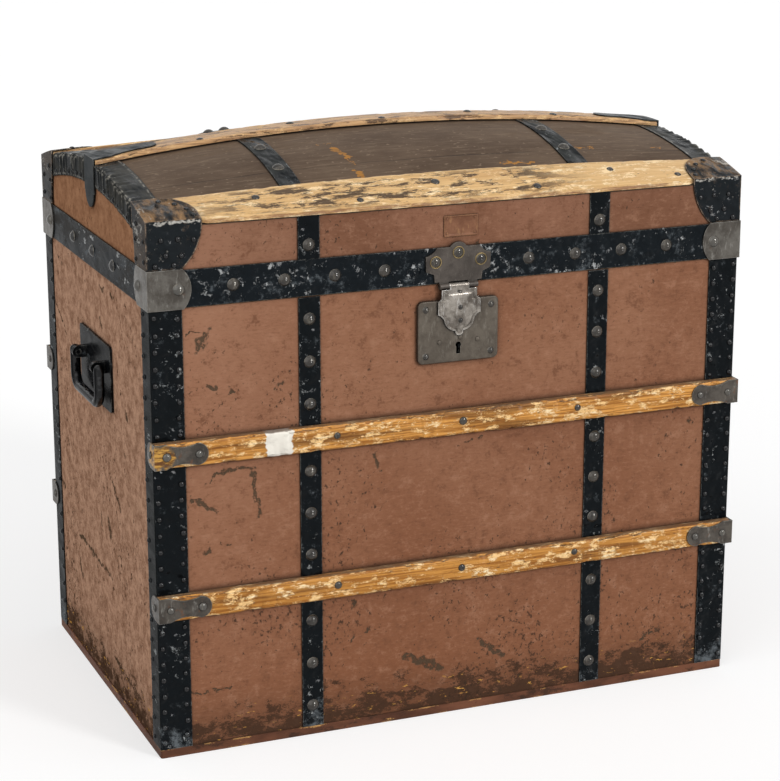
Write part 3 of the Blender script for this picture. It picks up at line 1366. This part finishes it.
@dataclass
class PleatedEdging:
    """Sheet edging bent over the arch of each end, gathered into pleats, and its tacks."""

    inner_x: float = 0.3295
    fold_x: float = 0.3592
    board_x: float = 0.3581
    end_drop: float = 0.0255
    fold_drop: float = 0.0008
    lift: float = 0.0013
    seat: float = 0.0002
    top_steps: int = 14
    end_steps: int = 12
    stations: int = 640
    pitch: float = 0.0148
    depth: float = 0.0030
    crumple_depth: float = 0.0006
    crown_clear: float = 0.0235
    cap_clear: float = 0.1690
    fade: float = 0.005
    wander: float = 1.1
    ridge_power: float = 1.3
    least_pleat: float = 0.12
    mean_pleat: float = 0.62
    pleat_range: float = 0.55
    end_fall: float = 0.55
    wander_scale: float = 42.0
    size_scale: float = 33.0
    rag_scale: float = 210.0
    crumple_scale: Spot = (90.0, 130.0)
    rag: float = 0.0009
    tack_pitch: float = 0.019
    tack_up: float = 0.0055
    tack_out: float = 0.0004

    def room(self, y: float) -> float:
        """How free the sheet is of the crown clamp and the caps, from 0 to 1."""
        return from_0_to_1(min(abs(y) - self.crown_clear, self.cap_clear - abs(y)) / self.fade)

    def pleat(self, y: float, sign: int) -> float:
        """Height of the pleats at a place along the arch.

        Args:
            y: place from front to back.
            sign: end of the trunk, -1 or 1.

        Returns:
            The height.
        """
        wander = smooth_noise(y * self.wander_scale, sign * 5.0, 1.0)
        ridge = (0.5 + 0.5 * math.cos(2 * math.pi * (y / self.pitch + self.wander * wander))) ** self.ridge_power
        size = self.mean_pleat + self.pleat_range * smooth_noise(y * self.size_scale, sign * 5.0, 4.0)
        return self.room(y) * min(1.0, max(self.least_pleat, size)) * ridge * self.depth

    def crumple(self, across: float, y: float, seed: float) -> float:
        """Height of the small folds at a place on the sheet."""
        folds = max(0.0, rough_noise(across * self.crumple_scale[0], y * self.crumple_scale[1], seed, octaves=3))
        return folds * self.crumple_depth * self.room(y)

    def outer(self, y: float, sign: int) -> list[Point]:
        """Points across the outer face of the sheet, from the dome over the fold and down the end.

        Args:
            y: place from front to back.
            sign: end of the trunk, -1 or 1.

        Returns:
            The points, on the right end.
        """
        pleat = self.pleat(y, sign)
        ragged = self.rag * smooth_noise(y * self.rag_scale, sign * 3.0, 7.0)
        points = []
        for i in range(self.top_steps):
            share = i / (self.top_steps - 1)
            x = self.inner_x + ragged * (1 - share) + (self.fold_x - self.fold_drop - self.inner_x) * share
            points.append((x, y, DOME.height(x, y) + self.lift + pleat * share ** 2
                           + self.crumple(x, y, sign * 2.0) * share))
        top = DOME.height(DOME.half_x, y) + self.lift
        for i in range(self.end_steps):
            share = i / (self.end_steps - 1)
            drop = self.fold_drop + (self.end_drop + ragged - self.fold_drop) * share
            out = self.fold_x + pleat * (1 - self.end_fall * share) + self.crumple(drop, y, sign * 9.0)
            points.append((out, y, top - drop))
        return points

    def build(self, tacks: HeadRow) -> None:
        """Build the edging of both ends and place its tacks.

        Args:
            tacks: row for the tacks along its lower edge.
        """
        for side, sign in (("left", -1), ("right", 1)):
            points: list[Point] = []
            for y in spread_out(DOME.half_y, self.stations):
                outer = self.outer(y, sign)
                (first_x, _, _), (_, _, foot_z) = outer[0], outer[-1]
                inner = [(self.board_x, y, foot_z), (self.board_x, y, DOME.height(DOME.half_x, y) + self.seat),
                         (first_x, y, DOME.height(first_x, y) + self.seat)]
                points += [(sign * x, across, z) for x, across, z in outer + inner]
            faces = sweep_faces(self.stations, len(points) // self.stations)
            mesh_piece(f"end_edging_{side}_sheet", points, faces, Body.LID, EDGING_IRON, (f"end_edging_{side}",), 1.0)
            for start, end in ((-self.cap_clear, -self.crown_clear), (self.crown_clear, self.cap_clear)):
                for y in spaced(start, end, self.tack_pitch)[1:-1]:
                    z = DOME.height(DOME.half_x, y) + self.lift - self.end_drop + self.tack_up
                    tacks.put((sign * (self.fold_x + self.tack_out), y, z), (sign, 0, 0))


@dataclass
class HaspDress:
    """Raised shield of the hasp's tongue, its pins, and the collars of the plate's rivets."""

    axis_z: float = 0.516
    face_y: float = -0.2291
    plate_y: float = -0.2253
    lock_y: float = -0.2265
    outline_step: float = 0.0012
    spine: Spot = (0.016, 0.038)
    dimples: tuple[Spot, ...] = ((0.006, 0.019), (-0.007, 0.021))
    dimple_depth: float = 0.0008
    dimple_spread: float = 0.00004
    dimple_from: float = 0.002
    pin_sunk: float = 0.0004
    half_outline: tuple[Spot, ...] = (
        (0.0, 0.0046), (0.0215, 0.0046), (0.0215, 0.014), (0.0257, 0.0165), (0.0257, 0.032), (0.0231, 0.0330),
        (0.0210, 0.0346), (0.0191, 0.0371), (0.0180, 0.0400), (0.0170, 0.0438), (0.0140, 0.0473), (0.0095, 0.0500),
        (0.0045, 0.0515), (0.0045, 0.054), (0.0032, 0.0561), (0.0, 0.0570))
    rise: tuple[Spot, ...] = (
        (0.10, -0.0004), (0.16, 0.0004), (0.22, 0.0014), (0.30, 0.0026), (0.40, 0.0031), (0.55, 0.0032),
        (0.75, 0.0034), (0.92, 0.0036))
    pin_spots: tuple[Spot, ...] = ((0.0240, 0.0032), (0.0390, 0.0033), (0.0075, 0.0010))
    lock_pin_spots: tuple[Spot, ...] = ((-0.0235, 0.4517), (0.0235, 0.4517), (0.0025, 0.4562))
    rivet_spots: tuple[Spot, ...] = ((-0.0275, 0.028), (0.0, 0.0375), (0.0275, 0.028))
    collar_radius: float = 0.0065
    collar_thick: float = 0.0008
    collar_steps: tuple[int, int] = (28, 8)

    def shield(self) -> list[Spot]:
        """Outline of the tongue below its knuckle.

        Returns:
            Places across and down, from the left of its neck round to the right.
        """
        fine = []
        for (x0, z0), (x1, z1) in zip(self.half_outline, self.half_outline[1:]):
            steps = max(1, round(math.hypot(x1 - x0, z1 - z0) / self.outline_step))
            fine += [(x0 + (x1 - x0) * i / steps, z0 + (z1 - z0) * i / steps) for i in range(steps)]
        fine.append(self.half_outline[-1])
        return [(-x, z) for x, z in fine[:0:-1]] + fine[:-1]

    def build(self, pins: HeadRow, lock_pins: HeadRow) -> None:
        """Build the shield and collars, and place the pins.

        Args:
            pins: row for the pins on the tongue.
            lock_pins: row for the small heads on the lock plate.
        """
        rim = self.shield()
        low, high = self.spine
        points: list[Point] = []
        for share, height in self.rise:
            for x, down in rim:
                at_x = x * (1 - share)
                at_down = down + (min(high, max(low, down)) - down) * share
                sunk = sum(
                    self.dimple_depth * math.exp(-((at_x - dx) ** 2 + (at_down - dz) ** 2) / self.dimple_spread)
                    for dx, dz in self.dimples if height > self.dimple_from)
                points.append((at_x, self.face_y - height + sunk, self.axis_z - at_down))
        mesh_piece("hasp_tongue_shield", points, sweep_faces(len(self.rise), len(rim)), Body.HASP, HASP_STEEL,
                   sharp_angle=1.2)
        for down, rise in self.pin_spots:
            pins.put((0.0, self.face_y - rise + self.pin_sunk, self.axis_z - down), (0, -1, 0))
        for x, z in self.lock_pin_spots:
            lock_pins.put((x, self.lock_y, z), (0, -1, 0))
        self.collars()

    def collars(self) -> None:
        """Build the brass collars under the plate's three rivets."""
        points: list[Point] = []
        faces: list[list[int]] = []
        around, across = self.collar_steps
        for x, up in self.rivet_spots:
            base = len(points)
            for i in range(around):
                angle = 2 * math.pi * i / around
                for j in range(across):
                    turn = 2 * math.pi * j / across
                    reach = self.collar_radius + self.collar_thick * math.cos(turn)
                    points.append((x + reach * math.cos(angle), self.plate_y - self.collar_thick * math.sin(turn),
                                   self.axis_z + up + reach * math.sin(angle)))
                    here, after = base + i * across, base + (i + 1) % around * across
                    m = (j + 1) % across
                    faces.append([here + j, here + m, after + m, after + j])
        mesh_piece("hasp_rivet_collars", points, faces, Body.LID, BRASS)


@dataclass
class LabelPlate:
    """Bare stamped plate on the front of the lid, with a rolled rim and four pins."""

    middle_x: float = 0.004
    middle_z: float = 0.5832
    half_x: float = 0.0205
    half_z: float = 0.0118
    face_y: float = FRONT_Y
    rim: float = 0.0012
    thick: float = 0.0012
    pin_in: float = 0.0035
    pin_rise: float = 0.4
    side_steps: int = 6
    rings: tuple[Spot, ...] = ((0.0, 0.0), (0.0, 1.0), (0.8, 1.15), (1.9, 0.45), (2.6, 0.4))

    def build(self, pins: HeadRow) -> None:
        """Build the plate and place its pins.

        Args:
            pins: row for the pins.
        """
        points: list[Point] = []
        for inset, rise in self.rings:
            x, z = self.half_x - inset * self.rim, self.half_z - inset * self.rim
            corners = [(-x, -z), (x, -z), (x, z), (-x, z)]
            for (ax, az), (bx, bz) in zip(corners, corners[1:] + corners[:1]):
                for i in range(self.side_steps):
                    share = i / self.side_steps
                    points.append((self.middle_x + ax + (bx - ax) * share, self.face_y - rise * self.thick,
                                   self.middle_z + az + (bz - az) * share))
        faces = sweep_faces(len(self.rings), 4 * self.side_steps)
        mesh_piece("lid_label_plate", points, faces, Body.LID, LABEL_PAINT)
        for x in both_ways((self.half_x - self.pin_in,)):
            for z in both_ways((self.half_z - self.pin_in,)):
                pins.put((self.middle_x + x, self.face_y - self.pin_rise * self.thick, self.middle_z + z), (0, -1, 0))


@dataclass
class Studio:
    """White floor, soft light and the camera of the photograph's view."""

    eye: Point = (-1.0404, -2.5757, 1.1188)
    azimuth: float = -22.17
    elevation: float = 15.77
    focal_pixels: float = 2353.0
    frame_pixels: float = 781.0
    sensor: float = 36.0
    clip_end: float = 200.0
    floor_half: float = 40.0
    floor_z: float = -0.0004
    floor_grey: float = 0.5
    floor_glow: float = 0.57
    world_level: float = 0.45
    lamps: dict[str, tuple[Point, float, float]] = field(default_factory=lambda: {
        "key": ((0.47, -0.80, 0.38), 1.46, 12.0),
        "fill": ((-0.75, -0.45, 0.48), 1.06, 70.0),
        "top": ((0.2, -0.4, 0.9), 0.35, 60.0)})

    def build(self) -> None:
        """Build the camera, the light and the floor."""
        self.camera()
        self.light()
        self.floor()
        bpy.context.scene.view_settings.view_transform = "Standard"

    def aimed(self, name: str, data: bpy.types.ID, back: Vector) -> bpy.types.Object:
        """Put a camera or lamp into the scene.

        Args:
            name: its name.
            data: the camera or lamp.
            back: direction that it looks away from.

        Returns:
            The object.
        """
        made = linked(name, data)
        made.rotation_mode = "QUATERNION"
        made.rotation_quaternion = (-back).to_track_quat("-Z", "Y")
        return made

    def camera(self) -> None:
        """Build the camera."""
        lens = bpy.data.cameras.new("photo_camera")
        lens.sensor_width = self.sensor
        lens.lens = self.sensor * self.focal_pixels / self.frame_pixels
        lens.clip_end = self.clip_end
        a, e = math.radians(self.azimuth), math.radians(self.elevation)
        back = Vector((math.sin(a) * math.cos(e), -math.cos(a) * math.cos(e), math.sin(e)))
        made = self.aimed("photo_camera", lens, back)
        made.location = self.eye
        bpy.context.scene.camera = made

    def light(self) -> None:
        """Build the lamps and a world that is white to the camera and in reflections."""
        for name, (towards, strength, angle) in self.lamps.items():
            lamp = bpy.data.lights.new(name, "SUN")
            lamp.energy = strength
            lamp.angle = math.radians(angle)
            self.aimed(name, lamp, Vector(towards))
        world = bpy.data.worlds.new("studio")
        world.use_nodes = True
        bpy.context.scene.world = world
        world.node_tree.nodes.clear()
        sheet = NodeSheet(world.node_tree)
        ambient, shown = (sheet.out("Background", "ShaderNodeBackground", {"Color": WHITE, "Strength": level})
                          for level in (self.world_level, 1.0))
        mixed = sheet.out("Shader", "ShaderNodeMixShader", {"Fac": sheet.seen_ray(), 1: ambient, 2: shown})
        sheet.node("ShaderNodeOutputWorld", {"Surface": mixed})

    def floor(self) -> None:
        """Build the floor, white to the camera apart from the trunk's shadow."""
        half, z, grey = self.floor_half, self.floor_z, self.floor_grey
        mesh = bpy.data.meshes.new("floor")
        mesh.from_pydata([(-half, -half, z), (half, -half, z), (half, half, z), (-half, half, z)], [], [(0, 1, 2, 3)])
        pale = bpy.data.materials.new("floor_white")
        pale.use_nodes = True
        pale.node_tree.nodes.clear()
        sheet = NodeSheet(pale.node_tree)
        matt = sheet.out("BSDF", "ShaderNodeBsdfDiffuse", {"Color": (grey, grey, grey, 1.0)})
        level = sheet.math("MULTIPLY", sheet.seen_ray(), self.floor_glow)
        glow = sheet.out("Emission", "ShaderNodeEmission", {"Strength": level})
        both = sheet.out("Shader", "ShaderNodeAddShader", {0: matt, 1: glow})
        sheet.node("ShaderNodeOutputMaterial", {"Surface": both})
        mesh.materials.append(pale)
        linked("floor", mesh)


def dress_nodes() -> None:
    """Give every CAD node its finish."""
    for finish, names in NODE_FINISHES.items():
        for name in names:
            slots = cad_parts[name].data.materials
            slots.clear()
            slots.append(MATERIALS.of(finish))


def main() -> None:
    """Build the trunk's looks in order."""
    logging.basicConfig(level=logging.INFO, format="%(name)s: %(message)s")
    heads = HeadTree()
    Studio().build()
    dress_nodes()
    body_slats, lid_slats = BodySlats(), LidSlats()
    body_slats.build()
    lid_slats.build()
    chest_tacks = HeadRow("binding_tacks", Body.CHEST, TACK_IRON, width=0.0062, height=0.0019, seed=3)
    lid_tacks = HeadRow("cap_tacks", Body.LID, TACK_IRON, width=0.0060, height=0.0018, seed=5)
    slat_nails = HeadRow("slat_nails", Body.CHEST, RIVET_IRON, width=0.0088, height=0.0022, seed=7)
    clamp_nails = HeadRow("clamp_nails", Body.CHEST, RIVET_IRON, width=0.0092, height=0.0026, seed=8)
    lid_nails = HeadRow("lid_slat_nails", Body.LID, RIVET_IRON, width=0.0095, height=0.0022, seed=9)
    label_pins = HeadRow("label_pins", Body.LID, LABEL_PAINT, width=0.0032, height=0.0009, seed=11, spread=0.05)
    tongue_pins = HeadRow("hasp_tongue_pins", Body.HASP, RIVET_IRON, width=0.0060, height=0.0020, seed=15,
                          spread=0.05)
    lock_pins = HeadRow("lock_plate_pins", Body.CHEST, LOCK_STEEL, width=0.0058, height=0.0014, seed=17,
                        spread=0.05)
    BindingTacks().build(chest_tacks)
    CapTacks().build(lid_tacks)
    PleatedEdging().build(lid_tacks)
    body_slats.nails(slat_nails, clamp_nails)
    lid_slats.nails(lid_nails)
    HaspDress().build(tongue_pins, lock_pins)
    LabelPlate().build(label_pins)
    for row in (chest_tacks, lid_tacks, slat_nails, clamp_nails, lid_nails, label_pins, tongue_pins, lock_pins):
        row.build(heads)


if __name__ == "__main__":
    main()
